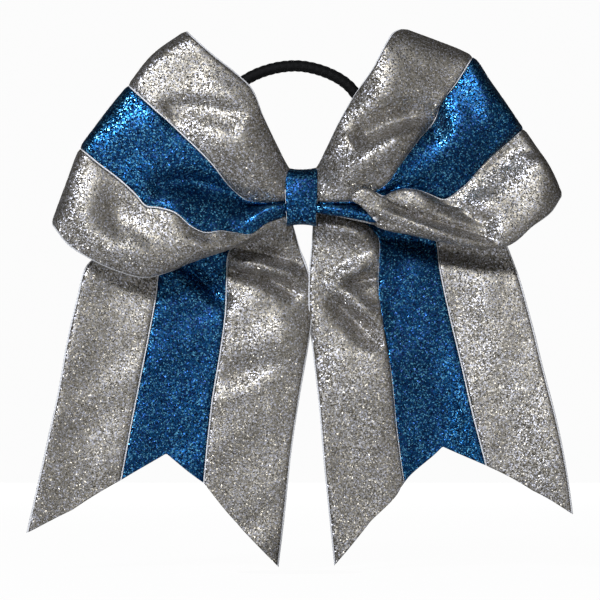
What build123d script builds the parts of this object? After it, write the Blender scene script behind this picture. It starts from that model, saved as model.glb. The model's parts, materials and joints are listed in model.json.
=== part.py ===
"""Cheer hair bow: one wide ribbon with three glitter strips, gathered into two loops and two tails,
bound by a cable tie, covered by a narrow glitter wrap, and carried on a ponytail elastic.

Millimetres. +X is the viewer's right, -Y is the front, +Z is up. The origin is the centre of the knot's
flat back, which rests against the hair. "left" and "right" are as seen from the front.
"""

from build123d import *
from math import cos, radians, sin
import os

os.makedirs("parts", exist_ok=True)

# --- Driving dimensions -------------------------------------------------------------------------
strip_width = 25.4  # each glitter strip is one inch wide
ribbon_width = 3 * strip_width  # three strips side by side cover the whole ribbon
ribbon_thickness = 0.5
glitter_thickness = 0.45
strip_inset = 0.25  # ribbon left bare along each edge of a strip
reach = 2 * ribbon_width  # longer than any sheet, for cutting prisms

# Knot
wrap_width = 10.0
wrap_height = 18.0
wrap_front_y = -17.4
wrap_back_y = 0.0
wrap_bulge = 2.6  # how far the wrap's front swells past its top and bottom edges
wrap_back_corner = 3.0
wrap_glitter_thickness = 0.8
wrap_ribbon_thickness = 0.4
core_half_height = 5.6
core_front_y = -13.8
core_back_y = -6.8
core_width = 7.4
core_pleats = 6
pleat_depth = 0.7
tie_width = 2.5
tie_thickness = 1.0
tie_clearance = 0.05
tie_corner = 1.6
tie_head_width = 4.4
tie_head_depth = 2.9
tie_head_height = 4.4
tie_head_z = -3.6
glue_width = 8.0
glue_depth = 4.4
glue_height = 5.8
glue_corner = 0.6

# Elastic
cord_diameter = 3.6
cord_clearance = 0.05
cord_y = -3.4
cord_z = 2.4
cord_radius = 24.2  # of the open half's centre line
cord_centre_x = -2.8
cord_centre_z = 17.4
cord_split = 0.2  # gap between the elastic's two halves

# Loops
left_fold_angle = 35.0  # direction from knot to fold, above the horizontal
right_fold_angle = 42.0
left_fold_reach = 64.5  # distance from knot to fold
right_fold_reach = 68.0
fold_radius = 4.0
fold_turn = 145.0
loop_back_y = -8.6
loop_neck_depth = 3.4
neck_x = 4.1
neck_half_height = 5.4
fold_overrun = 12.0  # cutting prisms run this far past the fold along the seams

# Tails
tail_y = -1.3
tail_root_y = -5.6  # back of the ribbon where a tail leaves the knot
tail_bow = 1.4  # how far a tail's middle swells forwards
flex_z = -28.0  # just below the loops, where a tail bends when it is lifted
flex_gap = 0.2
left_tip_z = -117.0
right_tip_z = -117.0
mouth_z = -7.2  # lowest point of a tail's root inside the wrap
tongue_top_z = -2.6


# --- Helpers ------------------------------------------------------------------------------------
def save(part, name):
    """Labels a finished piece and writes it as its own STEP file."""
    part.label = name
    export_step(part, f"parts/{name}.step")


def shifted(line, direction, distance):
    """A line of (x, z) points moved along a direction."""
    return [(x + distance * direction[0], z + distance * direction[1]) for x, z in line]


def outline(first, end, last):
    """Front-view face between two lines that start at the knot; end joins their far ends."""
    with BuildSketch(Plane.XZ) as face:
        with BuildLine():
            Spline(*first)
            Polyline(first[-1], *end, last[-1])
            Spline(*last)
            Line(first[0], last[0])
        make_face()
    return face.sketch


def polygon(points):
    """Front-view face with straight edges."""
    with BuildSketch(Plane.XZ) as face:
        with BuildLine():
            Polyline(*points, close=True)
        make_face()
    return face.sketch


def sheet(name, section, front_view):
    """A curved sheet: its side section swept along the ribbon's width, trimmed to its front view."""
    with BuildPart() as piece:
        extrude(section, amount=reach, both=True)
        extrude(front_view, amount=reach, both=True, mode=Mode.INTERSECT)
    save(piece.part, name)


# --- Knot ---------------------------------------------------------------------------------------
def wrap_section(shrink):
    """Side section of the wrap's outer skin, moved inwards by shrink: bulged front, flat back."""
    half = wrap_height / 2
    shoulder_y = wrap_front_y + wrap_bulge
    corner_y = wrap_back_y - wrap_back_corner
    corner_z = half - wrap_back_corner
    with BuildSketch(Plane.YZ) as section:
        with BuildLine():
            ThreePointArc((shoulder_y, -half), (wrap_front_y, 0), (shoulder_y, half))
            Polyline(
                (shoulder_y, half),
                (corner_y, half),
                (wrap_back_y, corner_z),
                (wrap_back_y, -corner_z),
                (corner_y, -half),
                (shoulder_y, -half),
            )
        make_face()
        if shrink:
            offset(amount=-shrink)
    return section.sketch


def wrap_layer(name, outer_shrink, inner_shrink):
    """One band of the wrap, between two distances below its outer skin."""
    with BuildPart() as band:
        extrude(wrap_section(outer_shrink), amount=wrap_width / 2, both=True)
        extrude(wrap_section(inner_shrink), amount=wrap_width / 2, both=True, mode=Mode.SUBTRACT)
    save(band.part, name)


wrap_layer("centre_wrap_glitter", 0, wrap_glitter_thickness)
wrap_layer(
    "centre_wrap_ribbon", wrap_glitter_thickness, wrap_glitter_thickness + wrap_ribbon_thickness
)

# The pinched middle of the ribbon is folded like an accordion, so its front and back are ribbed.
with BuildPart() as gathered_core:
    with BuildSketch(Plane.YZ):
        with BuildLine():
            pleat_z = [
                core_half_height * (step / core_pleats - 1) for step in range(2 * core_pleats + 1)
            ]
            front = [(core_front_y + pleat_depth * (i % 2), z) for i, z in enumerate(pleat_z)]
            back = [(core_back_y - pleat_depth * (i % 2), z) for i, z in enumerate(pleat_z)]
            Polyline(*front, *reversed(back), close=True)
        make_face()
    extrude(amount=core_width / 2, both=True)
save(gathered_core.part, "gathered_core")

core_middle_y = (core_front_y + core_back_y) / 2
tie_inner_depth = core_back_y - core_front_y + 2 * tie_clearance
tie_inner_height = 2 * (core_half_height + tie_clearance)
tie_back_y = core_middle_y + tie_inner_depth / 2
with BuildPart() as cable_tie:
    with BuildSketch(Plane.YZ):
        with Locations((core_middle_y, 0)):
            RectangleRounded(
                tie_inner_depth + 2 * tie_thickness, tie_inner_height + 2 * tie_thickness, tie_corner
            )
            Rectangle(tie_inner_depth, tie_inner_height, mode=Mode.SUBTRACT)
    extrude(amount=tie_width / 2, both=True)
    with Locations((0, tie_back_y, tie_head_z)):
        Box(
            tie_head_width,
            tie_head_depth,
            tie_head_height,
            align=(Align.CENTER, Align.MIN, Align.CENTER),
        )
save(cable_tie.part, "cable_tie")

# Hot glue behind the gathers, moulded around the strand of elastic that passes through it.
with BuildPart() as glue_pad:
    with BuildSketch(Plane.YZ):
        with Locations((cord_y, cord_z)):
            RectangleRounded(glue_depth, glue_height, glue_corner)
            Circle(cord_diameter / 2 + cord_clearance, mode=Mode.SUBTRACT)
    extrude(amount=glue_width / 2, both=True)
save(glue_pad.part, "glue_pad")


# --- Loops --------------------------------------------------------------------------------------
def loop_section(along, fold_reach, inner, outer):
    """Side section of one layer of a loop, between two distances outside the loop's hollow."""
    across = Plane(origin=(0, 0, 0), x_dir=(along[0], 0, along[1]), z_dir=(along[1], 0, -along[0]))
    hidden_start = -2 * neck_x  # behind the knot, where the front-view outline trims it away
    tip = fold_reach - fold_radius - ribbon_thickness - glitter_thickness
    with BuildSketch(across) as section:
        with BuildLine():
            Line((hidden_start, -loop_back_y), (tip, -loop_back_y))
            bend = JernArc((tip, -loop_back_y), (1, 0), fold_radius, fold_turn)
            neck = (hidden_start, loop_neck_depth - loop_back_y)
            TangentArc(bend @ 1, neck, tangent=bend % 1)
            Line(neck, (hidden_start, -loop_back_y))
        hollow = make_face()
        offset(hollow, amount=outer, mode=Mode.REPLACE)
        if inner:
            offset(hollow, amount=inner, mode=Mode.SUBTRACT)
        else:
            add(hollow, mode=Mode.SUBTRACT)
    return section.sketch


def loop(label, side, angle, fold_reach, lines, corner):
    """One loop: the bare ribbon and the three glitter strips bonded to its outside.
    side is -1 for left and 1 for right. lines holds the top edge, the two seams and the bottom edge,
    each from knot to fold. corner is the fold's end nearest the top edge."""
    outward = (side * cos(radians(angle)), sin(radians(angle)))
    downward = (side * outward[1], -side * outward[0])
    top_edge, upper_seam, lower_seam, bottom_edge = lines
    upper_seam = upper_seam + shifted(upper_seam[-1:], outward, fold_overrun)
    lower_seam = lower_seam + shifted(lower_seam[-1:], outward, fold_overrun)

    ribbon = loop_section(outward, fold_reach, 0, ribbon_thickness)
    fold_end = [corner, upper_seam[-1], lower_seam[-1]]
    sheet(f"{label}_ribbon", ribbon, outline(top_edge, fold_end, bottom_edge))

    glitter = loop_section(
        outward, fold_reach, ribbon_thickness, ribbon_thickness + glitter_thickness
    )
    strips = {
        "upper_silver": (top_edge, [corner], upper_seam),
        "blue": (upper_seam, [], lower_seam),
        "lower_silver": (lower_seam, [], bottom_edge),
    }
    for strip, (above, fold_corner, below) in strips.items():
        above = shifted(above, downward, strip_inset)
        below = shifted(below, downward, -strip_inset)
        sheet(f"{label}_{strip}", glitter, outline(above, fold_corner, below))


# Front-view lines as (x, z), each from the knot outwards.
left_loop_lines = [
    [(-neck_x, neck_half_height), (-11.4, 20.4), (-19.4, 38.2), (-36.4, 53.2)],
    [(-neck_x, -0.6), (-22.4, 4.4), (-36.0, 17.0), (-55.2, 34.2)],
    [(-neck_x, -3.2), (-30.0, -8.2), (-50.0, -0.6), (-70.0, 15.6)],
    [(-neck_x, -neck_half_height), (-20.0, -14.0), (-47.6, -25.2), (-79.2, -8.8)],
]
right_loop_lines = [
    [(neck_x, neck_half_height), (12.0, 21.2), (19.4, 36.4), (29.0, 52.8)],
    [(neck_x, -0.6), (22.0, 5.2), (39.0, 23.0), (53.8, 44.6)],
    [(neck_x, -3.0), (28.0, -2.0), (50.0, 4.5), (70.2, 21.4)],
    [(neck_x, -neck_half_height), (24.6, -10.0), (55.0, -15.4), (81.4, -4.2)],
]
loop("left_loop", -1, left_fold_angle, left_fold_reach, left_loop_lines, (-46.5, 45.0))
loop("right_loop", 1, right_fold_angle, right_fold_reach, right_loop_lines, (40.6, 50.4))


# --- Tails --------------------------------------------------------------------------------------
def root_section(front, back):
    """Side section of one layer of a tail's gathered root, which slopes back from the knot."""
    bottom = flex_z + flex_gap
    with BuildSketch(Plane.YZ) as section:
        with BuildLine():
            Polyline(
                (tail_root_y + front, 0),
                (tail_root_y + back, 0),
                (tail_y + back, bottom),
                (tail_y + front, bottom),
                close=True,
            )
        make_face()
    return section.sketch


def hanging_section(front, back):
    """Side section of one layer of a tail below its flex line, bowed forwards at mid-length."""
    top = flex_z - flex_gap
    bottom = min(left_tip_z, right_tip_z) - 1
    middle = (top + bottom) / 2
    with BuildSketch(Plane.YZ) as section:
        with BuildLine():
            ThreePointArc(
                (tail_y + front, top), (tail_y + front - tail_bow, middle), (tail_y + front, bottom)
            )
            Line((tail_y + front, bottom), (tail_y + back, bottom))
            ThreePointArc(
                (tail_y + back, bottom), (tail_y + back - tail_bow, middle), (tail_y + back, top)
            )
            Line((tail_y + back, top), (tail_y + front, top))
        make_face()
    return section.sketch


def layers(label, section, side, lines, ribbon_view, notch=()):
    """The ribbon and its three glitter strips, as front-view shapes of the given side section."""
    ribbon = section(0, ribbon_thickness)
    glitter = section(-glitter_thickness, 0)
    sheet(f"{label}_ribbon", ribbon, ribbon_view)
    strips = {"inner_silver": (), "blue": notch, "outer_silver": ()}
    for column, (strip, tip) in enumerate(strips.items()):
        inner = shifted(lines[column], (side, 0), strip_inset)
        outer = shifted(lines[column + 1], (side, 0), -strip_inset)
        sheet(f"{label}_{strip}", glitter, outline(inner, tip, outer))


# Front-view lines as (x, z), from the top down: inner edge, inner seam, outer seam, outer edge.
left_root_lines = [
    [(-5.8, mouth_z), (-4.8, -9.8), (-0.8, -17.0), (1.6, flex_z)],
    [(-7.0, -6.4), (-23.0, flex_z)],
    [(-8.2, -5.2), (-46.8, flex_z)],
    [(-9.2, -3.6), (-66.6, -21.0), (-70.0, flex_z)],
]
right_root_lines = [
    [(5.8, mouth_z), (4.8, -9.8), (2.9, -18.0), (2.7, flex_z)],
    [(7.0, -6.4), (24.6, flex_z)],
    [(8.2, -5.2), (44.5, flex_z)],
    [(9.2, -3.6), (65.0, -17.5), (68.5, flex_z)],
]
left_tail_lines = [
    [(1.6, flex_z), (0.3, -48.0), (-4.0, -80.0), (-8.1, left_tip_z)],
    [(-23.0, flex_z), (-24.5, -48.0), (-28.0, -70.0), (-31.2, -90.6)],
    [(-46.8, flex_z), (-49.5, -48.0), (-53.5, -70.0), (-57.6, -89.2)],
    [(-70.0, flex_z), (-74.0, -46.0), (-79.8, -76.0), (-86.5, -105.9)],
]
right_tail_lines = [
    [(2.7, flex_z), (4.0, -46.5), (6.4, -78.0), (10.3, right_tip_z)],
    [(24.6, flex_z), (27.0, -48.0), (30.0, -70.0), (32.9, -90.3)],
    [(44.5, flex_z), (49.5, -48.0), (54.0, -67.0), (58.6, -84.6)],
    [(68.5, flex_z), (73.5, -47.0), (79.8, -73.0), (85.6, -100.2)],
]


def root(label, side, lines):
    """A tail's gathered root, with a tongue that reaches into the wrap to meet the gathered core."""
    core_side = side * core_width / 2
    tongue = polygon([lines[0][0], (core_side, mouth_z), (core_side, tongue_top_z), lines[3][0]])
    layers(label, root_section, side, lines, outline(lines[0], [], lines[3]) + tongue)


def tail(label, side, lines, notch):
    """A hanging tail with a swallow-tailed end."""
    layers(label, hanging_section, side, lines, outline(lines[0], [notch], lines[3]), [notch])


root("left_root", -1, left_root_lines)
root("right_root", 1, right_root_lines)
tail("left_tail", -1, left_tail_lines, (-42.7, -81.1))
tail("right_tail", 1, right_tail_lines, (44.6, -78.6))


# --- Ponytail elastic ---------------------------------------------------------------------------
# One braided cord. It is split at its widest points, because the open half pulls away when it stretches.
cord_plane = Plane(origin=(0, cord_y, 0), x_dir=(1, 0, 0), z_dir=(0, -1, 0))
arc_left = (cord_centre_x - cord_radius, cord_centre_z)
arc_right = (cord_centre_x + cord_radius, cord_centre_z)


def cord_end(z):
    """Round end face of the cord, lying flat at the left split."""
    with BuildSketch(Plane.XY.offset(z)) as face:
        with Locations((arc_left[0], cord_y)):
            Circle(cord_diameter / 2)
    return face.sketch


with BuildPart() as elastic_open_half:
    with BuildLine(cord_plane):
        CenterArc((cord_centre_x, cord_centre_z + cord_split), cord_radius, 180, -180)
    sweep(cord_end(cord_centre_z + cord_split))
save(elastic_open_half.part, "elastic_open_half")

with BuildPart() as elastic_knot_half:
    corner_radius = cord_centre_z - cord_z
    with BuildLine(cord_plane):
        left_corner = JernArc(arc_left, (0, -1), corner_radius, 90)
        strand = Line(left_corner @ 1, (arc_right[0] - corner_radius, cord_z))
        JernArc(strand @ 1, (1, 0), corner_radius, 90)
    sweep(cord_end(cord_centre_z))
save(elastic_knot_half.part, "elastic_knot_half")
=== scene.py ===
import bpy
import json
import math
import numpy as np
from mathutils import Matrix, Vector


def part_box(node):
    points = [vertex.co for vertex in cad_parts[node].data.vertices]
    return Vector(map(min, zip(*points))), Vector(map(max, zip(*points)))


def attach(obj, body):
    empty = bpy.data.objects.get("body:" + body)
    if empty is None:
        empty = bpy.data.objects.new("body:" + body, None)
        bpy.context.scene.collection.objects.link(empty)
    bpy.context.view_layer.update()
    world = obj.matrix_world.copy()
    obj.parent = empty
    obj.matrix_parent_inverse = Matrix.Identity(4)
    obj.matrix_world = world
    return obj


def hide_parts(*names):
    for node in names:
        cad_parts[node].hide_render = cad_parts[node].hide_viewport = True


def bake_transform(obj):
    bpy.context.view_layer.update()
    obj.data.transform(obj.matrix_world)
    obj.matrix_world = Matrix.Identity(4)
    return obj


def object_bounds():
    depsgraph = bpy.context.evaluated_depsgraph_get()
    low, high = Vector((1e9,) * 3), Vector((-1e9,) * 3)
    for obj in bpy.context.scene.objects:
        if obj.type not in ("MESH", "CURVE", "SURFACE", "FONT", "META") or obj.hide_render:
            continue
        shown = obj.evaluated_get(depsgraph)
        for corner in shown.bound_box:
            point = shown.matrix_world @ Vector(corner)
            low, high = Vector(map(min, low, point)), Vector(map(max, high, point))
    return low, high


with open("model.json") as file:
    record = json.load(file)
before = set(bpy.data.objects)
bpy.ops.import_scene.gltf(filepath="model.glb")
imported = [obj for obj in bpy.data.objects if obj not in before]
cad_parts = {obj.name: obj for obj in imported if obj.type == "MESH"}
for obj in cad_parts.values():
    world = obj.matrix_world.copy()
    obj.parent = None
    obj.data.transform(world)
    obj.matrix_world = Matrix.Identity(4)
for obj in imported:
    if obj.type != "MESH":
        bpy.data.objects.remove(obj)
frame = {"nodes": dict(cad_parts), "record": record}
cad_low, cad_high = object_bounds()

MM = 0.001
COLOURS = {m["slot"]: m["base_color"][:3] for m in frame["record"]["materials"]}

# ---------------- Sizes in mm, unless a comment says otherwise ----------------
RIBBON_WIDTH = 76.2  # three one-inch strips
RIBBON_THICKNESS = 0.5
GLITTER_THICKNESS = 0.45
STRIP_OVERLAP = 0.1  # how far a glitter strip sinks into the ribbon
EDGE_HEIGHT = 0.35  # height of a strip's very edge, as a share of its thickness
EDGE_ROWS = 1.5  # rows of the grid over which a strip rises from its edge
SEAM_BARE = 0.0028  # share of the ribbon's width left bare along each side of a seam
RIM_BARE = 0.006  # and along the ribbon's own edges
SEAMS = (0.0, 1 / 3, 2 / 3, 1.0)
FOLD_DEPTH = 2.6
CREASE_FULL = 0.86  # creases are at full depth up to here along a piece
CREASE_GONE = 1.02  # and have faded out here, just past a loop's fold
FRONT_END = 0.8  # up to here along a piece its outside faces the front
WAVES = ((26.0, 0.30), (17.0, 0.20), (11.0, 0.07), (7.0, 0.03))  # length and height of each
STRIP_ROWS = 42  # rows of points across one strip
LOOP_STATIONS = np.linspace(0, 2, 320)  # 0 at the knot, 1 at the fold, 2 back at the knot
TAIL_STATIONS = np.linspace(0, 1, 230)  # 0 at the knot, 1 at the end

# Glitter flakes
FLAKE_SIZE = 0.35
FLAKE_RELIEF = 0.04  # random height of the surface, either way
RELIEF_SPACING = 0.6  # the relief is less where grid points lie closer than this
FLAKE_TILT = 0.34  # how far every flake leans
LOOSE_TILT = 1.7  # how much further the loosest flakes lean
LOOSE_RARITY = 5.0  # a higher power means fewer loose flakes
GLOSS_SPREAD = 0.2  # range of roughness between flakes

# ---------------- Guide lines ----------------
def rail(share, front, back=()):
    """A guide line along the ribbon at one share of its width: 0 top or inner edge, 1 bottom or outer.

    Its points are (out, up, forward) in thousandths of the piece's CAD box: out from the knot, up from
    the bottom, forward from the back. They were placed by eye over the photo and put into this unit
    by a helper script. A loop's line goes on with the points of its back layer.
    """
    return {"share": share, "front": front, "back": list(back), "length": 1.0}


def crease(above, below, path):
    """A fold pressed into the front of a piece, which spreads above and below its line, in mm.

    Its points are (out, up, push): a push of 1 is forwards by FOLD_DEPTH, and a negative one back.
    """
    return path, above, below


LEFT_LOOP_RAILS = [
    # top edge
    rail(0.0, [
        (-27, 401, 230), (0, 441, 290), (40, 514, 540), (108, 651, 720), (158, 764, 760), (219, 820, 690),
        (314, 893, 600), (411, 976, 510), (430, 992, 290),
    ], back=[
        (356, 816, 80), (225, 675, 30), (99, 514, 50), (-10, 377, 130),
    ]),
    # upper strip's middle
    rail(1 / 6, [
        (-27, 377, 290), (11, 401, 390), (74, 474, 650), (175, 578, 850), (293, 683, 850), (423, 792, 710),
        (503, 847, 630), (552, 881, 540), (571, 895, 290),
    ], back=[
        (461, 715, 30), (293, 574, -20), (116, 453, 30), (-10, 357, 80),
    ]),
    # upper seam
    rail(1 / 3, [
        (-27, 324, 290), (15, 310, 310), (116, 304, 390), (181, 314, 490), (234, 353, 590),
        (327, 461, 740), (449, 576, 740), (562, 675, 700), (626, 730, 620), (657, 757, 550),
        (674, 772, 290),
    ], back=[
        (567, 627, 80), (377, 494, 0), (145, 381, 30), (-10, 340, 80),
    ]),
    # valley beside the knot
    rail(0.42, [
        (-27, 312, 180), (15, 300, 180), (116, 292, 210), (183, 296, 340), (259, 328, 570),
        (377, 413, 670), (525, 534, 710), (630, 615, 700), (685, 666, 640), (714, 692, 560),
        (731, 707, 290),
    ], back=[
        (588, 554, 80), (377, 453, 0), (145, 365, 30), (-10, 328, 80),
    ]),
    # blue ridge
    rail(0.55, [
        (-27, 292, 390), (15, 288, 470), (116, 264, 570), (188, 224, 540), (251, 236, 540),
        (356, 300, 590), (482, 401, 690), (651, 514, 710), (756, 574, 640), (793, 596, 560),
        (811, 607, 290),
    ], back=[
        (630, 474, 80), (398, 401, 0), (145, 345, 30), (-10, 316, 80),
    ]),
    # lower seam
    rail(2 / 3, [
        (-27, 268, 230), (15, 248, 310), (99, 215, 440), (166, 173, 520), (225, 179, 540), (284, 187, 590),
        (356, 181, 620), (407, 203, 670), (482, 262, 730), (546, 280, 720), (600, 288, 700),
        (642, 332, 680), (706, 389, 670), (798, 457, 640), (857, 503, 560), (876, 518, 290),
    ], back=[
        (672, 385, 50), (419, 332, -20), (145, 312, 30), (-10, 300, 80),
    ]),
    # lower strip's middle
    rail(0.8, [
        (-27, 252, 230), (15, 236, 290), (99, 195, 410), (175, 155, 520), (293, 123, 670), (411, 131, 780),
        (503, 151, 770), (588, 171, 720), (672, 218, 660), (744, 258, 640), (828, 306, 710),
        (883, 348, 660), (915, 376, 570), (929, 389, 290),
    ], back=[
        (756, 292, 30), (461, 240, -20), (166, 272, 30), (-10, 288, 80),
    ]),
    # swell above the bottom edge
    rail(0.9, [
        (-27, 244, 190), (11, 222, 230), (103, 179, 340), (196, 141, 430), (339, 97, 580), (457, 76, 700),
        (550, 72, 790), (659, 103, 810), (781, 147, 760), (866, 207, 740), (939, 278, 610), (963, 302, 290),
    ], back=[
        (811, 224, 40), (525, 175, 0), (188, 242, 30), (-10, 280, 80),
    ]),
    # bottom edge
    rail(1.0, [
        (-27, 236, 160), (6, 207, 180), (108, 163, 260), (217, 127, 340), (386, 70, 440), (503, 22, 560),
        (596, -2, 570), (727, 26, 590), (836, 74, 620), (933, 135, 590), (984, 197, 530), (996, 215, 290),
    ], back=[
        (861, 151, 50), (588, 111, 30), (209, 211, 30), (-10, 272, 80),
    ]),
]
RIGHT_LOOP_RAILS = [
    # top edge
    rail(0.0, [
        (-26, 314, 230), (7, 356, 280), (46, 440, 480), (103, 575, 580), (169, 705, 550), (240, 822, 650),
        (296, 943, 620), (322, 987, 500), (347, 1003, 380), (367, 1006, 230),
    ], back=[
        (318, 864, 80), (236, 677, 30), (126, 468, 50), (-10, 286, 130),
    ]),
    # upper strip's middle
    rail(1 / 6, [
        (-26, 286, 280), (15, 314, 380), (80, 380, 630), (187, 515, 800), (289, 663, 820), (351, 752, 780),
        (404, 831, 670), (484, 926, 460), (503, 947, 280),
    ], back=[
        (412, 747, 30), (289, 561, -20), (126, 389, 30), (-10, 263, 80),
    ]),
    # bulge above the valley
    rail(0.29, [
        (-26, 240, 330), (19, 226, 450), (126, 235, 600), (220, 261, 640), (269, 305, 730),
        (326, 370, 780), (433, 538, 750), (539, 724, 620), (603, 873, 480), (613, 896, 280),
    ], back=[
        (482, 654, 30), (310, 468, -20), (126, 328, 30), (-10, 249, 80),
    ]),
    # upper seam
    rail(1 / 3, [
        (-26, 226, 280), (19, 205, 400), (105, 204, 520), (175, 210, 540), (220, 226, 560),
        (253, 252, 640), (289, 279, 680), (347, 366, 700), (433, 498, 650), (498, 589, 600),
        (515, 645, 600), (589, 766, 600), (636, 852, 530), (648, 875, 280),
    ], back=[
        (515, 640, 30), (330, 445, -20), (126, 314, 30), (-10, 245, 80),
    ]),
    # valley
    rail(0.45, [
        (-26, 212, 180), (19, 198, 230), (126, 198, 280), (220, 212, 330), (310, 259, 490),
        (412, 324, 670), (535, 445, 750), (585, 528, 740), (638, 622, 700), (705, 738, 630),
        (720, 761, 280),
    ], back=[
        (576, 561, 30), (351, 398, -20), (126, 296, 30), (-10, 231, 80),
    ]),
    # blue ridge beside the knot
    rail(0.55, [
        (-26, 184, 350), (19, 182, 480), (105, 172, 570), (179, 158, 600), (232, 140, 610),
        (212, 179, 530), (257, 219, 490), (314, 254, 520), (400, 286, 590), (535, 361, 650),
        (621, 449, 700), (679, 515, 720), (736, 589, 720), (771, 636, 650), (785, 654, 280),
    ], back=[
        (630, 482, 30), (371, 342, -20), (126, 272, 30), (-10, 217, 80),
    ]),
    # blue under the lip
    rail(0.63, [
        (-26, 170, 280), (19, 156, 420), (126, 137, 520), (203, 121, 580), (248, 114, 600),
        (240, 156, 620), (212, 196, 620), (187, 224, 620), (207, 238, 620), (253, 233, 610),
        (294, 235, 590), (330, 252, 580), (376, 268, 570), (425, 270, 560), (486, 254, 540),
        (531, 245, 510), (605, 291, 470), (703, 417, 510), (777, 501, 600), (822, 549, 580),
        (839, 566, 280),
    ], back=[
        (666, 398, 30), (388, 282, -20), (126, 245, 30), (-10, 203, 80),
    ]),
    # lower seam
    rail(2 / 3, [
        (-26, 172, 230), (19, 163, 330), (126, 147, 400), (212, 126, 510), (261, 110, 630),
        (228, 156, 700), (187, 198, 730), (158, 226, 720), (187, 252, 730), (244, 249, 730),
        (283, 228, 680), (322, 249, 650), (367, 261, 630), (425, 256, 630), (486, 231, 560),
        (527, 214, 520), (597, 259, 460), (707, 391, 440), (810, 494, 460), (841, 524, 460),
        (855, 538, 280),
    ], back=[
        (679, 375, 30), (392, 268, -20), (126, 235, 30), (-10, 198, 80),
    ]),
    # ridge of the lower strip
    rail(0.82, [
        (-26, 165, 180), (19, 161, 230), (126, 151, 300), (203, 133, 400), (277, 124, 680),
        (359, 137, 790), (494, 100, 800), (638, 110, 750), (794, 217, 700), (892, 328, 670),
        (931, 375, 660), (945, 393, 280),
    ], back=[
        (761, 235, 30), (433, 165, -20), (126, 189, 30), (-10, 184, 80),
    ]),
    # turned-under edge
    rail(0.93, [
        (-26, 168, 130), (19, 163, 180), (126, 154, 250), (212, 128, 380), (277, 86, 600), (392, 58, 730),
        (535, 21, 730), (679, 2, 750), (785, 21, 790), (892, 124, 790), (962, 231, 710), (984, 268, 630),
        (994, 286, 280),
    ], back=[
        (781, 142, 30), (433, 110, 30), (126, 156, 30), (-10, 175, 80),
    ]),
    # bottom edge
    rail(1.0, [
        (-26, 170, 100), (19, 165, 130), (126, 154, 200), (212, 124, 300), (277, 84, 430), (400, 54, 480),
        (556, 12, 530), (687, -11, 580), (794, -2, 640), (892, 86, 680), (974, 158, 620), (1005, 212, 530),
        (1015, 231, 280),
    ], back=[
        (802, 82, 80), (453, 63, 80), (126, 128, 80), (-10, 165, 80),
    ]),
]
LEFT_TAIL_RAILS = [
    # inner edge
    rail(0.0, [
        (64, 975, 790), (51, 942, 690), (28, 881, 480), (-9, 801, 200), (-19, 740, 120), (-18, 672, 240),
        (-3, 594, 440), (28, 456, 480), (55, 319, 380), (82, 125, 280), (103, -7, 180),
    ]),
    # inner strip's middle
    rail(1 / 6, [
        (71, 978, 890), (99, 942, 890), (143, 884, 790), (153, 815, 480), (150, 732, 480), (157, 622, 690),
        (182, 456, 690), (207, 319, 480), (251, 125, 280), (272, -4, 180),
    ]),
    # inner seam
    rail(1 / 3, [
        (71, 980, 790), (150, 947, 690), (251, 903, 580), (283, 859, 480), (290, 787, 380),
        (294, 705, 380), (312, 594, 480), (342, 456, 480), (358, 346, 380), (387, 125, 280), (409, -4, 180),
    ]),
    # blue strip's middle
    rail(0.5, [
        (78, 983, 690), (207, 953, 690), (358, 898, 580), (402, 837, 480), (423, 760, 380),
        (437, 649, 480), (466, 512, 480), (495, 374, 380), (531, 181, 280), (567, 15, 180),
    ]),
    # outer seam
    rail(2 / 3, [
        (78, 986, 580), (261, 953, 580), (459, 884, 480), (531, 815, 380), (545, 746, 380),
        (571, 636, 480), (603, 512, 480), (635, 387, 380), (671, 239, 280), (722, 37, 180),
    ]),
    # outer strip's middle
    rail(5 / 6, [
        (85, 989, 580), (315, 953, 580), (567, 889, 480), (668, 820, 380), (696, 732, 380),
        (725, 622, 480), (761, 484, 480), (795, 346, 380), (840, 181, 280), (876, 43, 180),
    ]),
    # outer edge
    rail(1.0, [
        (85, 991, 480), (351, 956, 480), (657, 892, 380), (797, 826, 480), (829, 740, 540),
        (858, 649, 670), (898, 478, 730), (937, 341, 710), (984, 181, 560), (1024, 46, 360),
    ]),
]
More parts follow.
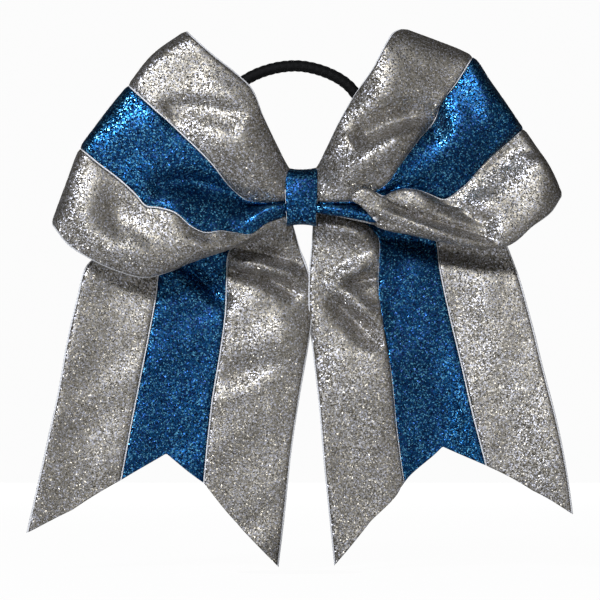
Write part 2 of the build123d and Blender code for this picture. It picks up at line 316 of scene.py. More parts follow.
RIGHT_TAIL_RAILS = [
    # inner edge
    rail(0.0, [
        (15, 964, 760), (13, 932, 660), (9, 882, 540), (-1, 806, 470), (-4, 732, 430), (1, 656, 310),
        (14, 574, 230), (38, 424, 390), (54, 288, 370), (77, 124, 270), (96, -7, 170),
    ]),
    # inner strip's middle
    rail(1 / 6, [
        (23, 967, 850), (77, 937, 950), (126, 888, 850), (134, 806, 660), (138, 724, 560), (153, 615, 600),
        (176, 479, 680), (199, 315, 480), (229, 151, 270), (260, 10, 170),
    ]),
    # pleat beside the blue strip
    rail(0.3, [
        (31, 970, 850), (153, 945, 1090), (237, 912, 1120), (250, 866, 990), (252, 792, 740),
        (264, 697, 600), (291, 588, 790), (306, 465, 810), (329, 315, 470), (359, 179, 270), (398, 26, 170),
    ]),
    # inner seam
    rail(1 / 3, [
        (38, 973, 760), (180, 941, 970), (262, 896, 970), (266, 828, 870), (264, 752, 620),
        (283, 656, 540), (314, 520, 700), (333, 383, 540), (363, 225, 310), (409, 34, 170),
    ]),
    # blue strip's middle
    rail(0.5, [
        (38, 975, 660), (199, 953, 560), (363, 910, 470), (386, 828, 370), (398, 724, 370),
        (424, 602, 470), (466, 465, 470), (505, 342, 370), (554, 179, 270), (600, 56, 170),
    ]),
    # outer seam
    rail(2 / 3, [
        (46, 978, 560), (249, 959, 560), (474, 910, 470), (501, 806, 350), (535, 692, 390),
        (581, 555, 540), (627, 411, 780), (677, 274, 890), (738, 91, 740),
    ]),
    # outer strip's middle
    rail(5 / 6, [
        (46, 981, 560), (287, 964, 560), (612, 910, 480), (661, 792, 600), (707, 670, 810),
        (759, 520, 1120), (808, 370, 1400), (847, 233, 1510), (885, 110, 1320),
    ]),
    # outer edge
    rail(1.0, [
        (54, 983, 470), (306, 970, 470), (726, 910, 410), (791, 812, 740), (837, 702, 1120),
        (898, 528, 1550), (950, 383, 1900), (986, 252, 2020), (1011, 119, 1860),
    ]),
]

LEFT_LOOP_CREASES = [
    # valley across the upper strip
    crease(2.6, 6.0, [(546, 671, 0), (503, 683, -0.9), (419, 691, -1.2), (314, 683, -1.1),
        (217, 659, -0.7), (166, 635, 0)]),
    # ridge below it
    crease(5.5, 5.0, [(461, 627, 0), (377, 595, 0.5), (293, 554, 0.8), (200, 498, 0.8), (116, 441, 0.7),
        (23, 353, 0.4)]),
    # valley across the blue strip
    crease(3.0, 4.6, [(596, 340, 0), (554, 365, -0.9), (503, 385, -1.4), (419, 393, -1.6),
        (327, 373, -1.6), (217, 328, -1.3), (116, 300, -0.6)]),
    # hollow near the fold
    crease(5.0, 5.0, [(739, 393, -0.2), (718, 292, -0.5), (701, 183, -0.4)]),
]
RIGHT_LOOP_CREASES = [
    # valley across the upper strip
    crease(6.0, 2.4, [(154, 463, 0), (212, 505, -1.6), (298, 552, -2.4), (400, 584, -2.4),
        (490, 598, -1.6), (539, 603, 0)]),
    # ridge below it
    crease(4.6, 4.6, [(44, 286, 0.4), (134, 338, 1.3), (212, 389, 1.8), (330, 477, 1.8), (433, 528, 1.1),
        (482, 547, 0)]),
    # dent above the long ridge
    crease(3.5, 3.0, [(515, 175, -0.8), (605, 147, -1.4), (703, 100, -1.2)]),
    # valley over the long ridge
    crease(1.8, 1.3, [(285, 198, 0), (335, 175, -0.9), (425, 137, -1.3), (564, 86, -1.3), (703, 35, -0.9),
        (781, 12, 0)]),
    # crest of the long ridge
    crease(1.4, 1.6, [(203, 179, 0), (294, 147, 0.5), (400, 105, 0.7), (539, 49, 0.7), (687, 7, 0.5),
        (777, -11, 0)]),
]
LEFT_TAIL_CREASES = [
    # ridge below the loop
    crease(2.6, 1.8, [(286, 848, 0.6), (243, 834, 1.4), (146, 820, 1.8), (74, 807, 1.6), (13, 779, 0.6)]),
    # valley under that ridge
    crease(1.8, 2.8, [(286, 820, -0.6), (229, 809, -1.4), (150, 796, -1.8), (60, 760, -1.2), (20, 740, 0)]),
    # hollow above the ridge
    crease(2.8, 2.4, [(207, 870, -0.6), (117, 854, -1.2), (35, 834, -0.6)]),
    # crease across the blue strip
    crease(2.6, 2.6, [(488, 854, -0.4), (423, 815, -1.5), (351, 765, -1.6), (294, 727, -0.6)]),
    # swell of the inner strip
    crease(8.0, 8.0, [(35, 727, 0.4), (64, 663, 1.2), (114, 572, 1.0), (164, 498, 0.3)]),
    # hollow across the inner strip
    crease(5.0, 4.0, [(308, 506, -0.4), (225, 534, -1.2), (117, 561, -0.8), (42, 589, 0)]),
]
RIGHT_TAIL_CREASES = [
    # upper arm of the crease
    crease(2.8, 2.2, [(92, 765, 0.3), (134, 787, 0.9), (187, 809, 1.1), (256, 842, 0.5)]),
    # hollow between the arms
    crease(2.0, 2.2, [(107, 768, -0.2), (161, 773, -1.3), (256, 784, -1.0)]),
    # lower arm of the crease
    crease(3.0, 2.2, [(103, 754, 0.3), (153, 730, 0.9), (214, 694, 1.1), (268, 667, 0.5)]),
    # valley under the lower arm
    crease(2.2, 3.4, [(73, 741, -0.3), (115, 711, -1.5), (176, 670, -1.9), (237, 626, -1.6),
        (283, 593, -0.5)]),
    # swell below the creases
    crease(9.0, 9.0, [(153, 642, 0.1), (191, 566, 0.5), (214, 484, 0.5), (229, 397, 0.1)]),
    # rounded pleat below the knot
    crease(2.6, 3.2, [(46, 932, 0.6), (134, 921, 1.4), (210, 899, 1.4), (245, 866, 0.6)]),
    # hollow under the loop's ridge
    crease(4.0, 5.0, [(268, 893, -1.0), (421, 888, -1.6), (612, 855, -1.2), (757, 828, -0.4)]),
]

# The swallow-tail cuts seen from the front, as (out, up) in thousandths of the tail's CAD box
LEFT_TAIL_CUT = [
    (103, -10), (134, 7), (187, 58), (294, 150), (376, 229), (459, 290), (501, 310), (550, 290),
    (671, 234), (801, 176), (905, 121), (1006, 90), (1052, 70),
]
RIGHT_TAIL_CUT = [
    (77, -23), (95, -3), (244, 126), (363, 223), (493, 321), (513, 324), (670, 275), (807, 229),
    (887, 189), (1000, 143), (1070, 116),
]


# ---------------- Curves and surfaces ----------------
def spline(points, knots, at):
    """Smooth curve through points, which sit at the given knots, read at the values in `at`."""
    points = np.asarray(points, float)
    knots = np.asarray(knots, float)
    at = np.asarray(at, float)
    spans = np.diff(knots)
    slopes = np.diff(points, axis=0) / spans[:, None]
    tangents = np.empty_like(points)
    tangents[1:-1] = (spans[1:, None] * slopes[:-1] + spans[:-1, None] * slopes[1:]) / (
        spans[1:, None] + spans[:-1, None]
    )
    tangents[0] = slopes[0]
    tangents[-1] = slopes[-1]
    i = np.clip(np.searchsorted(knots, at, side="right") - 1, 0, len(spans) - 1)
    h = spans[i][:, None]
    t = ((at - knots[i]) / spans[i])[:, None]
    return (
        (1 + 2 * t) * (1 - t) ** 2 * points[i]
        + t * (1 - t) ** 2 * h * tangents[i]
        + t * t * (3 - 2 * t) * points[i + 1]
        + t * t * (t - 1) * h * tangents[i + 1]
    )


def box_of(nodes):
    """Lowest and highest corner of several CAD nodes together, in mm."""
    corners = np.array([[list(p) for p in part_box(n)] for n in nodes]) / MM
    return corners[:, 0].min(0), corners[:, 1].max(0)


class Piece:
    """A piece's CAD box, with places given in thousandths of it (see rail)."""

    def __init__(self, nodes, side):
        self.low, self.high = box_of(nodes)
        self.side = side

    def place(self, points):
        out, up, forward = np.asarray(points, float).T / 1000
        size = self.high - self.low
        if self.side < 0:
            x = self.high[0] - out * size[0]
        else:
            x = self.low[0] + out * size[0]
        return np.stack([x, self.high[1] - forward * size[1], self.low[2] + up * size[2]], 1)


def chord_knots(points):
    """0 to 1 along a line of points, in proportion to distance."""
    steps = np.linalg.norm(np.diff(points, axis=0), axis=1)
    return np.concatenate([[0], np.cumsum(steps)]) / steps.sum()


def guide(piece, line, along):
    """A guide line read at `along`: 0 at the knot, 1 at the fold or the end, 2 back at the knot."""
    front = piece.place(line["front"])
    knots = chord_knots(front)
    points = front
    if line["back"]:
        back = piece.place(line["back"])
        back_knots = chord_knots(np.vstack([front[-1:], back]))
        points = np.vstack([front, back])
        knots = np.concatenate([knots, 1 + back_knots[1:]])
    return spline(points, knots, along)


def length_above(piece, line, cut):
    """Where along a tail's guide line the swallow-tail cut crosses it, to the nearest thousandth."""
    along = np.linspace(0.5, 1, 1500)  # the cut is in the far half
    path = guide(piece, line, along)
    edge = piece.place([(out, up, 0) for out, up in cut])
    edge = edge[np.argsort(edge[:, 0])]
    below = path[:, 2] < np.interp(path[:, 0], edge[:, 0], edge[:, 2])
    return round(along[below.argmax()], 3) if below.any() else 1.0


class Surface:
    """The ribbon of one piece, as a smooth sheet through its guide lines."""

    def __init__(self, piece, lines, along, creases, seed):
        self.shares = [line["share"] for line in lines]
        self.lengths = [line["length"] for line in lines]
        self.piece = piece
        self.along = along
        self.creases = creases
        self.guides = [lambda at, line=line: guide(piece, line, at) for line in lines]
        self.waves = wave_set(seed)

    def grid(self, across):
        """Points for each share of the width in `across` and each station along the ribbon, in mm."""
        rows = []
        for share in across:
            stations = self.along * np.interp(share, self.shares, self.lengths)
            lines = np.stack([g(stations) for g in self.guides])
            flat = spline(lines.reshape(len(lines), -1), self.shares, [share])
            rows.append(flat.reshape(-1, 3))
        points = np.stack(rows)
        front = smooth(CREASE_GONE, CREASE_FULL, self.along)[None, :]
        points[..., 1] -= front * crease_push(self.piece, self.creases, points)
        points[..., 1] -= ripple(self.waves, points)
        return points


def smooth(start, end, value):
    """0 at start, 1 at end, with an eased step between."""
    t = np.clip((value - start) / (end - start), 0, 1)
    return t * t * (3 - 2 * t)


def wave_set(seed):
    """A few gentle waves with random directions, so that flat ribbon isn't perfectly flat."""
    rng = np.random.default_rng(seed)
    waves = []
    for length, height in WAVES:
        angle = rng.uniform(0, math.pi)
        waves.append((math.cos(angle) / length, math.sin(angle) / length, rng.uniform(0, 1), height))
    return waves


def ripple(waves, points):
    total = np.zeros(points.shape[:-1])
    for kx, kz, phase, height in waves:
        total += height * np.sin(2 * math.pi * (kx * points[..., 0] + kz * points[..., 2] + phase))
    return total


def crease_push(piece, creases, points):
    """How far forwards the folds push each point, from its place in the front view."""
    flat = points[..., [0, 2]].reshape(-1, 2)
    total = np.zeros(len(flat))
    for path, above, below in creases:
        placed = piece.place([(out, up, 0) for out, up, _ in path])[:, [0, 2]]
        push = FOLD_DEPTH * np.array([p[2] for p in path], float)
        nearest = np.full(len(flat), 1e9)
        value = np.zeros(len(flat))
        for a, b, push_a, push_b in zip(placed[:-1], placed[1:], push[:-1], push[1:]):
            step = b - a
            t = np.clip(((flat - a) @ step) / (step @ step), 0, 1)
            gap = flat - (a + t[:, None] * step)
            distance = np.linalg.norm(gap, axis=1)
            spread = np.where(gap[:, 1] > 0, above, below)
            here = (push_a + t * (push_b - push_a)) * np.exp(-((distance / spread) ** 2))
            closer = distance < nearest
            value = np.where(closer, here, value)
            nearest = np.where(closer, distance, nearest)
        total += value
    return total.reshape(points.shape[:-1])


def grid_normals(points, facing):
    """Unit normals of a grid of points, on the side given by facing."""
    along = np.gradient(points, axis=1)
    across = np.gradient(points, axis=0)
    normals = np.cross(along, across) * facing
    return normals / np.maximum(np.linalg.norm(normals, axis=-1, keepdims=True), 1e-9)


def facing_of(points, columns):
    """1 or -1, so that the first columns of the grid face the front (-Y)."""
    along = np.gradient(points, axis=1)[:, :columns]
    across = np.gradient(points, axis=0)[:, :columns]
    return -1.0 if np.cross(along, across)[..., 1].mean() > 0 else 1.0


# ---------------- Meshes ----------------
def add_object(name, data):
    """A new object in the scene."""
    obj = bpy.data.objects.new(name, data)
    bpy.context.scene.collection.objects.link(obj)
    return obj


def make_mesh(name, vertices, faces, uvs, material, smooth_faces=None):
    """A mesh object from vertices in mm, quads, and a flat-cloth UV in mm for every vertex."""
    mesh = bpy.data.meshes.new(name)
    mesh.from_pydata((np.asarray(vertices) * MM).tolist(), [], np.asarray(faces).tolist())
    layer = mesh.uv_layers.new(name="cloth")
    loops = np.zeros(len(mesh.loops), np.int32)
    mesh.loops.foreach_get("vertex_index", loops)
    layer.data.foreach_set("uv", np.asarray(uvs, np.float32)[loops].ravel())
    rest = mesh.attributes.new("rest_mm", "FLOAT_VECTOR", "POINT")
    rest.data.foreach_set("vector", np.asarray(vertices, np.float32).ravel())
    flags = np.ones(len(mesh.polygons), bool) if smooth_faces is None else smooth_faces
    mesh.polygons.foreach_set("use_smooth", flags)
    mesh.materials.append(material)
    mesh.update()
    return add_object(name, mesh)


def grid_faces(rows, columns, start=0):
    index = start + np.arange(rows * columns).reshape(rows, columns)
    return np.stack(
        [index[:-1, :-1], index[:-1, 1:], index[1:, 1:], index[1:, :-1]], -1
    ).reshape(-1, 4)


def thick_sheet(name, top, bottom, uv, facing, material):
    """A closed sheet between two grids of points, with a rim all round."""
    rows, columns = top.shape[:2]
    count = rows * columns
    upper = grid_faces(rows, columns)
    lower = grid_faces(rows, columns, count)
    if facing > 0:
        lower = lower[:, ::-1]
    else:
        upper = upper[:, ::-1]
    index = np.arange(count).reshape(rows, columns)
    ring = np.concatenate([index[0], index[1:, -1], index[-1, -2::-1], index[-2:0:-1, 0]])
    after = np.roll(ring, -1)
    rim = np.stack([ring, ring + count, after + count, after], 1)
    if facing < 0:
        rim = rim[:, ::-1]
    faces = np.vstack([upper, lower, rim])
    flags = np.ones(len(faces), bool)
    flags[-len(rim):] = False
    vertices = np.vstack([top.reshape(-1, 3), bottom.reshape(-1, 3)])
    uvs = np.vstack([uv.reshape(-1, 2)] * 2)
    return make_mesh(name, vertices, faces, uvs, material, flags)


def cloth_uv(points, across):
    """Distance along the ribbon and across it, in mm."""
    middle = points[len(points) // 2]
    steps = np.linalg.norm(np.diff(middle, axis=0), axis=1)
    distance = np.concatenate([[0], np.cumsum(steps)])
    return np.stack(np.meshgrid(distance, across * RIBBON_WIDTH), -1)


def ribbon_sheet(name, surface, rows, facing, material):
    """The bare ribbon, under the glitter."""
    across = np.linspace(0, 1, rows)
    points = surface.grid(across)
    normals = grid_normals(points, facing)
    bottom = points - normals * RIBBON_THICKNESS
    return thick_sheet(name, points, bottom, cloth_uv(points, across), facing, material)


def flake_relief(points, seed):
    """Random height of every point of a grid, less where the points lie close together."""
    spacing = np.minimum(
        np.linalg.norm(np.gradient(points, axis=0), axis=-1),
        np.linalg.norm(np.gradient(points, axis=1), axis=-1),
    )
    rough = np.random.default_rng(seed).uniform(-1, 1, points.shape[:2])
    return rough * FLAKE_RELIEF * np.clip(spacing / RELIEF_SPACING, 0, 1)


def glitter_strip(name, surface, first, last, rows, facing, material, seed):
    """One glitter strip bonded to the ribbon's outside, rough with flakes."""
    start = RIM_BARE if first == SEAMS[0] else SEAM_BARE
    end = RIM_BARE if last == SEAMS[-1] else SEAM_BARE
    across = np.linspace(first + start, last - end, rows)
    points = surface.grid(across)
    normals = grid_normals(points, facing)
    rough = flake_relief(points, seed)
    edge = np.minimum(np.arange(rows), np.arange(rows)[::-1])
    lift = GLITTER_THICKNESS * np.clip(edge / EDGE_ROWS, EDGE_HEIGHT, 1)[:, None] + rough
    top = points + normals * lift[..., None]
    bottom = points - normals * STRIP_OVERLAP
    return thick_sheet(name, top, bottom, cloth_uv(points, across), facing, material)


# ---------------- Materials ----------------
class Nodes:
    """Short way to build a node material."""

    def __init__(self, name):
        self.material = bpy.data.materials.new(name)
        self.material.use_nodes = True
        self.tree = self.material.node_tree
        self.tree.nodes.clear()
        self.output = self.add("ShaderNodeOutputMaterial")
        self.shader = self.add("ShaderNodeBsdfPrincipled")
        self.link(self.shader, "BSDF", self.output, "Surface")

    def add(self, kind, **values):
        node = self.tree.nodes.new(kind)
        for key, value in values.items():
            setattr(node, key, value)
        return node

    def link(self, a, a_socket, b, b_socket):
        self.tree.links.new(a.outputs[a_socket], b.inputs[b_socket])

    def uv(self):
        return self.add("ShaderNodeUVMap", uv_map="cloth")

    def scaled(self, source, socket, scale):
        node = self.add("ShaderNodeVectorMath", operation="MULTIPLY")
        self.link(source, socket, node, 0)
        node.inputs[1].default_value = scale
        return node

    def math(self, operation, a, b=None):
        node = self.add("ShaderNodeMath", operation=operation)
        for slot, value in ((0, a), (1, b)):
            if isinstance(value, tuple):
                self.link(value[0], value[1], node, slot)
            elif value is not None:
                node.inputs[slot].default_value = value
        return node

    def colour_by(self, source, socket, stops):
        """Base colour from a value, through a ramp."""
        ramp = self.add("ShaderNodeValToRGB")
        elements = ramp.color_ramp.elements
        while len(elements) < len(stops):
            elements.new(0.5)
        for element, (position, colour) in zip(elements, stops):
            element.position = position
            element.color = (*colour, 1)
        self.link(source, socket, ramp, "Fac")
        self.link(ramp, "Color", self.shader, "Base Color")

    def done(self, **values):
        """The material, with the shader's plain inputs set, such as Sheen_Weight for Sheen Weight."""
        for socket, value in values.items():
            self.shader.inputs[socket.replace("_", " ")].default_value = value
        return self.material


def glitter_material(name, stops, metallic, roughness):
    """Random flakes: each has its own tilt and gloss and a colour picked at random, whose spread from dark
    to light is painted sparkle; a few stand well out of line.
    """
    n = Nodes(name)
    place = n.add("ShaderNodeAttribute", attribute_name="rest_mm")
    flakes = n.add("ShaderNodeTexVoronoi", voronoi_dimensions="3D", feature="F1")
    flakes.inputs["Scale"].default_value = 1 / FLAKE_SIZE
    flakes.inputs["Randomness"].default_value = 1.0
    n.link(place, "Vector", flakes, "Vector")
    split = n.add("ShaderNodeSeparateColor")
    n.link(flakes, "Color", split, "Color")
    # Each flake's random value picks its colour: painted sparkle in the base colour
    n.colour_by(split, "Red", stops)

    loose = n.math("POWER", (split, "Blue"), LOOSE_RARITY)
    lean = n.math("MULTIPLY_ADD", (loose, "Value"), LOOSE_TILT)
    lean.inputs[2].default_value = FLAKE_TILT
    centred = n.add("ShaderNodeVectorMath", operation="SUBTRACT")
    n.link(flakes, "Color", centred, 0)
    centred.inputs[1].default_value = (0.5, 0.5, 0.5)
    tilted = n.add("ShaderNodeVectorMath", operation="SCALE")
    n.link(centred, "Vector", tilted, 0)
    n.link(lean, "Value", tilted, "Scale")
    geometry = n.add("ShaderNodeNewGeometry")
    added = n.add("ShaderNodeVectorMath", operation="ADD")
    n.link(geometry, "Normal", added, 0)
    n.link(tilted, "Vector", added, 1)
    unit = n.add("ShaderNodeVectorMath", operation="NORMALIZE")
    n.link(added, "Vector", unit, 0)
    n.link(unit, "Vector", n.shader, "Normal")

    gloss = n.math("MULTIPLY_ADD", (split, "Green"), GLOSS_SPREAD)
    gloss.inputs[2].default_value = roughness
    n.link(gloss, "Value", n.shader, "Roughness")
    return n.done(Metallic=metallic)


def grosgrain_material(name, colour):
    """White ribbed ribbon: fine ribs across its width, with a slight woven unevenness."""
    n = Nodes(name)
    uv = n.uv()
    ribs = n.add("ShaderNodeTexWave", wave_type="BANDS", bands_direction="X")
    ribs.inputs["Scale"].default_value = 0.42
    ribs.inputs["Distortion"].default_value = 0.3
    n.link(uv, "UV", ribs, "Vector")
    weave = n.add("ShaderNodeTexNoise")
    weave.inputs["Scale"].default_value = 3.0
    n.link(uv, "UV", weave, "Vector")
    mixed = n.math("MULTIPLY_ADD", (weave, "Fac"), 0.35)
    n.link(ribs, "Fac", mixed, 2)
    n.colour_by(mixed, "Value", [(0.0, [c * 0.72 for c in colour]), (1.0, colour)])
    bump = n.add("ShaderNodeBump")
    bump.inputs["Strength"].default_value = 0.5
    bump.inputs["Distance"].default_value = 0.0002
    n.link(mixed, "Value", bump, "Height")
    n.link(bump, "Normal", n.shader, "Normal")
    return n.done(Roughness=0.75, Sheen_Weight=0.2)


def cord_material(name, colour):
    """Black cord: fine streaks along its length, with a faint sheen."""
    n = Nodes(name)
    uv = n.uv()
    fibres = n.add("ShaderNodeTexNoise")
    fibres.inputs["Scale"].default_value = 5.0
    stretched = n.scaled(uv, "UV", (0.6, 3.0, 1.0))
    n.link(stretched, "Vector", fibres, "Vector")
    dark = [c * 0.12 for c in colour]
    light = [c * 0.35 for c in colour]
    n.colour_by(fibres, "Fac", [(0.3, dark), (0.75, light)])
    return n.done(Roughness=0.7, Specular_IOR_Level=0.15, Sheen_Weight=0.03)


def moulded_material(name, colour, roughness, cloudy):
    """Plain moulded plastic or set glue, slightly cloudy."""
    n = Nodes(name)
    place = n.add("ShaderNodeTexCoord")
    cloud = n.add("ShaderNodeTexNoise")
    cloud.inputs["Scale"].default_value = 600.0
    n.link(place, "Object", cloud, "Vector")
    n.colour_by(cloud, "Fac", [(0.3, [c * (1 - cloudy) for c in colour]), (0.7, colour)])
    return n.done(Roughness=roughness, Subsurface_Weight=0.1, Subsurface_Scale=0.001)


silver = glitter_material(
    "silver_glitter",
    # Each flake's colour is picked at random from these stops: the spread from dark to light is painted
    # sparkle and the cool white top a painted glint, over the glitter's own warm grey
    [
        (0.0, (0.11, 0.098, 0.078)),
        (0.45, (0.29, 0.265, 0.215)),
        (0.8, (0.465, 0.45, 0.435)),
        (1.0, (0.88, 0.89, 1.0)),
    ],
    metallic=0.85,
    roughness=0.36,
)
blue = glitter_material(
    "blue_glitter",
    # Each flake's colour is picked at random from these stops: the spread from dark to light is painted
    # sparkle and the pale cyan top a painted glint, over the glitter's own deep blue
    [
        (0.0, (0.002, 0.006, 0.030)),
        (0.45, (0.003, 0.035, 0.120)),
        (0.8, (0.007, 0.105, 0.265)),
        (1.0, (0.20, 0.62, 0.92)),
    ],
    metallic=0.9,
    roughness=0.26,
)
white = grosgrain_material("white_ribbon", COLOURS["white_ribbon"])
black = cord_material("elastic_black", COLOURS["elastic_black"])
nylon = moulded_material("tie_plastic", COLOURS["tie_plastic"], roughness=0.4, cloudy=0.08)
glue = moulded_material("glue", COLOURS["glue"], roughness=0.35, cloudy=0.2)
STRIP_MATERIAL = {"silver_glitter": silver, "blue_glitter": blue}


# ---------------- Loops and tails ----------------
def build_ribbon(label, side, lines, creases, along, strips, nodes, seed):
    """The ribbon and the three strips of one loop or tail; side is -1 for the left and 1 for the right."""
    piece = Piece(nodes, side)
    surface = Surface(piece, lines, along, creases, seed)
    sample = surface.grid(np.linspace(0, 1, 9))
    facing = facing_of(sample, np.searchsorted(along, FRONT_END))
    made = {"ribbon": ribbon_sheet(f"{label}_base", surface, STRIP_ROWS * 3, facing, white)}
    for i, (strip, slot) in enumerate(strips):
        made[strip] = glitter_strip(
            f"{label}_{strip}_strip", surface, SEAMS[i], SEAMS[i + 1], STRIP_ROWS, facing,
            STRIP_MATERIAL[slot], seed + i,
        )
    return made


LOOP_STRIPS = (
    ("upper_silver", "silver_glitter"),
    ("blue", "blue_glitter"),
    ("lower_silver", "silver_glitter"),
)
TAIL_STRIPS = (
    ("inner_silver", "silver_glitter"),
    ("blue", "blue_glitter"),
    ("outer_silver", "silver_glitter"),
)


def build_loop(label, side, lines, creases, seed):
    """One loop, in place of its CAD strips."""
    nodes = [n for n in frame["nodes"] if n.startswith(f"{label}_")]
    made = build_ribbon(label, side, lines, creases, LOOP_STATIONS, LOOP_STRIPS, nodes, seed)
    for strip, obj in made.items():
        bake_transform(obj)
        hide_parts(f"{label}_{strip}")


def build_tail(label, side, lines, creases, cut, seed):
    """One tail and its root as one sheet, in place of their CAD strips."""
    root = label.replace("tail", "root")
    nodes = [n for n in frame["nodes"] if n.startswith((f"{label}_", f"{root}_"))]
    piece = Piece(nodes, side)
    lines = [{**line, "length": length_above(piece, line, cut)} for line in lines]
    made = build_ribbon(label, side, lines, creases, TAIL_STATIONS, TAIL_STRIPS, nodes, seed)
    for strip, obj in made.items():
        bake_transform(obj)
        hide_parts(f"{label}_{strip}", f"{root}_{strip}")


build_loop("left_loop", -1, LEFT_LOOP_RAILS, LEFT_LOOP_CREASES, 11)
build_loop("right_loop", 1, RIGHT_LOOP_RAILS, RIGHT_LOOP_CREASES, 23)
build_tail("left_tail", -1, LEFT_TAIL_RAILS, LEFT_TAIL_CREASES, LEFT_TAIL_CUT, 31)
build_tail("right_tail", 1, RIGHT_TAIL_RAILS, RIGHT_TAIL_CREASES, RIGHT_TAIL_CUT, 41)


# ---------------- Knot ----------------
WRAP_STATIONS = 190
WRAP_ROWS = 34
FOOT_TAPER = 0.09  # share of its width that the wrap loses towards its foot
WAIST_DIP = 0.6  # how far its top and bottom edges are pinched in the middle of its width
FACE_CROWN = 0.35  # how far its face bulges there
FACE_PROUD = 0.6  # how far its face stands forward of the CAD's
WRAP_CLOTH_START = 200  # keeps the wrap's cloth coordinates clear of the strips'


def wrap_profile(low, high):
    """Closed side outline of the wrap as (y, z) in mm, from the middle of its back, over the top."""
    back = high[1]
    front = low[1] - FACE_PROUD
    top = high[2]
    corner = 3.0
    shoulder = front + 2.5
    points = [
        (back, 0), (back, top * 0.45), (back - 0.3, top - corner), (back - corner * 0.55, top - 0.5),
        (back - corner - 1.0, top), ((back + shoulder) / 2, top + 0.15), (shoulder + 1.5, top),
        (shoulder - 0.2, top - 0.9), (front + 1.3, top * 0.72), (front + 0.45, top * 0.36), (front, 0),
    ]
    lower = [(y, -z) for y, z in points[-2:0:-1]]
    loop = np.array(points + lower + [points[0]])
    return spline(loop, chord_knots(loop), np.linspace(0, 1, WRAP_STATIONS))


def on_knot(obj, node):
    """Put a piece on the knot's body, in place of its CAD node."""
    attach(obj, "knot")
    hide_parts(node)


def wrap_band(name, node, shrink, thickness, material, glitter, seed):
    """One layer of the band round the knot. glitter scales its relief; shrink is a share of its width."""
    low, high = box_of([node])
    profile = wrap_profile(low, high)[:-1]
    middle = profile.mean(0)
    across = np.linspace(-1, 1, WRAP_ROWS)
    half = (high[0] - low[0]) / 2
    height = high[2]
    outside = np.empty((len(across), len(profile) + 1, 3))
    closed = np.vstack([profile, profile[:1]])
    for i, t in enumerate(across):
        taper = 1 - FOOT_TAPER * smooth(0, -height, closed[:, 1]) - shrink
        outside[i, :, 0] = t * half * taper
        dip = WAIST_DIP * (1 - t * t) * smooth(0.5 * height, height, np.abs(closed[:, 1]))
        crown = FACE_CROWN * (1 - t * t) * smooth(middle[0], low[1], closed[:, 0])
        outside[i, :, 1] = closed[:, 0] - crown
        outside[i, :, 2] = closed[:, 1] - np.sign(closed[:, 1]) * dip
    normals = grid_normals(outside, 1.0)
    ends = normals[:, 0] + normals[:, -1]
    normals[:, 0] = normals[:, -1] = ends / np.linalg.norm(ends, axis=-1, keepdims=True)
    away = outside - outside.mean((0, 1))
    if (normals * away)[..., 1:].sum() < 0:
        normals = -normals
    rough = flake_relief(outside, seed) * glitter
    rough[:, -1] = rough[:, 0]
    top = outside + normals * rough[..., None]
    bottom = outside - normals * thickness
    turned = np.cross(np.gradient(outside, axis=1), np.gradient(outside, axis=0))
    facing = 1.0 if (turned * normals).sum() > 0 else -1.0
    distance = chord_knots(closed) * np.linalg.norm(np.diff(closed, axis=0), axis=1).sum()
    uv = np.stack(np.meshgrid(distance, across * half + WRAP_CLOTH_START), -1)
    return thick_sheet(name, top, bottom, uv, facing, material)


band = wrap_band(
    "knot_wrap_glitter", "centre_wrap_glitter",
    shrink=0.0, thickness=0.75, material=blue, glitter=1.0, seed=51,
)
backing = wrap_band(
    "knot_wrap_backing", "centre_wrap_ribbon",
    shrink=-0.03, thickness=0.4, material=white, glitter=0.0, seed=52,
)
on_knot(band, "centre_wrap_glitter")
on_knot(backing, "centre_wrap_ribbon")

PLEATS = 9
PLEAT_STEPS = 24
PLEAT_ROWS = 14
PLEAT_THICKNESS = 0.4
PLEAT_SWING = 0.42  # how far a pleat swings from the middle, as a share of the core's depth
PLEAT_SPREAD = 0.92  # share of the core's height that the pleats take up


def gathered_bundle(name, node):
    """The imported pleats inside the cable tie: a ribbon folded back and forth, and squeezed."""
    low, high = box_of([node])
    zigzag = []
    for i in range(PLEATS * PLEAT_STEPS + 1):
        t = i / PLEAT_STEPS
        swing = math.cos(math.pi * t)
        depth = (low[1] + high[1]) / 2 + swing * (high[1] - low[1]) * PLEAT_SWING
        up = high[2] * PLEAT_SPREAD - t / PLEATS * (high[2] - low[2]) * PLEAT_SPREAD
        zigzag.append((depth, up))
    line = np.array(zigzag)
    across = np.linspace(low[0], high[0], PLEAT_ROWS)
    points = np.empty((len(across), len(line), 3))
    points[..., 0] = across[:, None]
    points[..., 1] = line[None, :, 0]
    points[..., 2] = line[None, :, 1]
    normals = grid_normals(points, 1.0)
    uv = np.stack(np.meshgrid(across, chord_knots(line) * RIBBON_WIDTH, indexing="ij"), -1)
    half = normals * PLEAT_THICKNESS / 2
    return thick_sheet(name, points + half, points - half, uv, 1.0, white)


on_knot(gathered_bundle("gathered_pleats", "gathered_core"), "gathered_core")

for node, material in (("cable_tie", nylon), ("glue_pad", glue)):
    mesh = frame["nodes"][node].data
    mesh.materials.clear()
    mesh.materials.append(material)


# ---------------- Ponytail elastic ----------------
CORD_STATIONS = 520
CORD_SIDES = 32
STRANDS = 8
BRAID_PITCH = 9.0  # length of cord in which a strand goes once round
BRAID_RELIEF = 0.04  # height of the strands, as a share of the cord's radius


